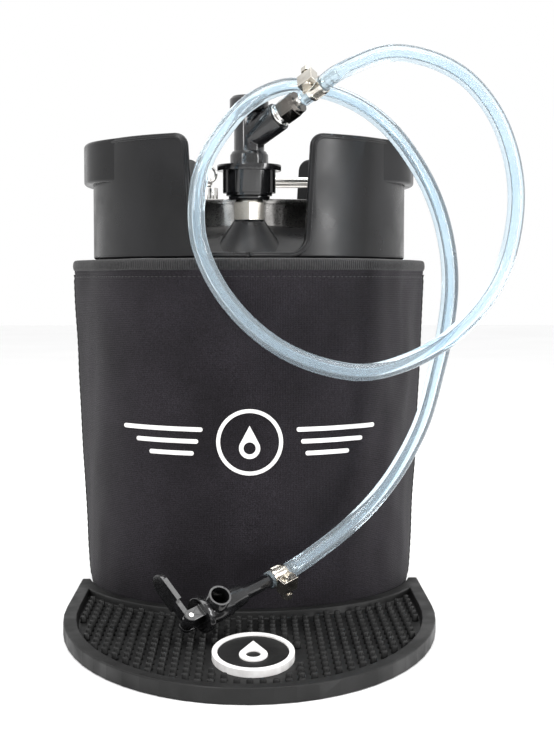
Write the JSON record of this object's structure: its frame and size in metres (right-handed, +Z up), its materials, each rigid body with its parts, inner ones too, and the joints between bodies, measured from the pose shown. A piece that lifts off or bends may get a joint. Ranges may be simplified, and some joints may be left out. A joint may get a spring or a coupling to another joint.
{
  "type": "beer keg",
  "caption": "Small steel beer keg in a neoprene sleeve, with rubber top, oval lid, ball-lock coupler, looped clear hose, hand tap and crescent drip mat.",
  "frame": {"origin": "centre of the base, on the surface the keg stands on", "axes": "+Z up, -Y to the front with the liquid post, the hose and the drip mat, +X to the right seen from the front"},
  "size_m": [0.3035, 0.4143, 0.3765],
  "materials": {
    "steel": "satin, spun and passivated",
    "polished_steel": "bright",
    "spring_steel": "drawn wire",
    "satin_nut": "satin, turned",
    "dark_nut": "bright, darker plating",
    "clamp_steel": "bright rolled strip",
    "rubber_top": "moulded, satin",
    "rubber_trim": "satin",
    "seal": "smooth",
    "gloss_black": "glossy moulded",
    "clear_tube": "clear flexible vinyl",
    "neoprene": "knit-faced neoprene",
    "binding": "ribbed knit tape",
    "white_print": "print on knit",
    "mat_rubber": "matte with fine scuffs",
    "white_rubber": "smooth"
  },
  "bodies": {
    "keg": {"shell": "steel", "top_grip": "rubber_top", "base_boot": "rubber_top", "lid": "steel", "lid_gasket": "seal", "relief_body": "polished_steel", "relief_nut": "steel", "relief_spring": "spring_steel", "liquid_post": "satin_nut", "liquid_poppet": "polished_steel", "liquid_poppet_spring": "spring_steel", "liquid_post_seal": "seal", "liquid_dip_tube": "steel", "liquid_tube_seal": "seal", "gas_post": "satin_nut", "gas_poppet_spring": "spring_steel", "gas_post_seal": "seal", "gas_dip_tube": "steel", "gas_tube_seal": "seal", "coupler_body": "gloss_black", "coupler_cap": "gloss_black", "coupler_collar_spring": "spring_steel", "coupler_balls": "polished_steel", "coupler_pin": "polished_steel", "coupler_pin_spring": "spring_steel", "outlet_nipple": "polished_steel", "hose_barb": "polished_steel", "upper_clamp_band": "clamp_steel", "upper_clamp_housing": "clamp_steel", "hose": "clear_tube", "lower_clamp_band": "clamp_steel", "lower_clamp_housing": "clamp_steel", "tap_body": "gloss_black", "tap_bonnet": "gloss_black", "tap_spring": "spring_steel", "tap_lever_pin": "polished_steel", "sleeve": "neoprene", "sleeve_binding": "binding", "sleeve_emblem": "white_print", "drip_mat": "mat_rubber", "mat_badge": "white_rubber"},
    "bail": {"lid_bail": "polished_steel", "bail_feet": "rubber_trim"},
    "relief": {"relief_stem": "polished_steel", "relief_ring": "polished_steel"},
    "collar": {"coupler_collar": "gloss_black"},
    "gas_valve": {"gas_poppet": "polished_steel"},
    "nut": {"swivel_nut": "dark_nut"},
    "upper_screw": {"upper_clamp_screw": "clamp_steel"},
    "lower_screw": {"lower_clamp_screw": "clamp_steel"},
    "plunger": {"tap_plunger": "polished_steel", "tap_seal": "seal"},
    "lever": {"tap_lever": "gloss_black"}
  },
  "joints": [
    {"name": "bail_hinge", "type": "hinge", "parent": "keg", "child": "bail", "pos_m": [-0.008, 0, 0.298], "axis": [0, -1, 0], "range_deg": [0, 95]},
    {"name": "relief_pull", "type": "slide", "parent": "keg", "child": "relief", "axis": [0, 0, 1], "range_m": [0, 0.003], "stiffness_N_per_m": 400, "springref_m": -0.002, "deforming": ["relief_spring"]},
    {"name": "collar_slide", "type": "slide", "parent": "keg", "child": "collar", "axis": [0, 0, 1], "range_m": [0, 0.005], "stiffness_N_per_m": 600, "springref_m": -0.003, "deforming": ["coupler_collar_spring"]},
    {"name": "gas_valve_press", "type": "slide", "parent": "keg", "child": "gas_valve", "axis": [0, 0, 1], "range_m": [-0.003, 0], "stiffness_N_per_m": 400, "springref_m": 0.002, "deforming": ["gas_poppet_spring"]},
    {"name": "swivel_nut_turn", "type": "hinge", "parent": "keg", "child": "nut", "pos_m": [0.02748, -0.09424, 0.34084], "axis": [0.7233, -0.5064, 0.4695], "continuous": true},
    {"name": "upper_screw_turn", "type": "hinge", "parent": "keg", "child": "upper_screw", "pos_m": [0.03771, -0.11121, 0.35684], "axis": [0.014, 0.6904, 0.7233], "continuous": true},
    {"name": "lower_screw_turn", "type": "hinge", "parent": "keg", "child": "lower_screw", "pos_m": [0.02403, -0.15397, 0.03355], "axis": [-0.0677, 0.4632, -0.8836], "continuous": true},
    {"name": "lever_hinge", "type": "hinge", "parent": "keg", "child": "lever", "pos_m": [-0.03754, -0.19071, 0.01901], "axis": [-0.2838, 0.6598, -0.6958], "range_deg": [0, 25], "stiffness_Nm_per_rad": 0.3, "springref_deg": -11.46},
    {"name": "plunger_slide", "type": "slide", "parent": "keg", "child": "plunger", "axis": [0.7622, 0.5955, 0.2538], "range_m": [0, 0.0025], "deforming": ["tap_spring"]}
  ],
  "couplings": [
    {"joint": "plunger_slide", "follows": "lever_hinge", "m_per_rad": 0.0055004}
  ]
}
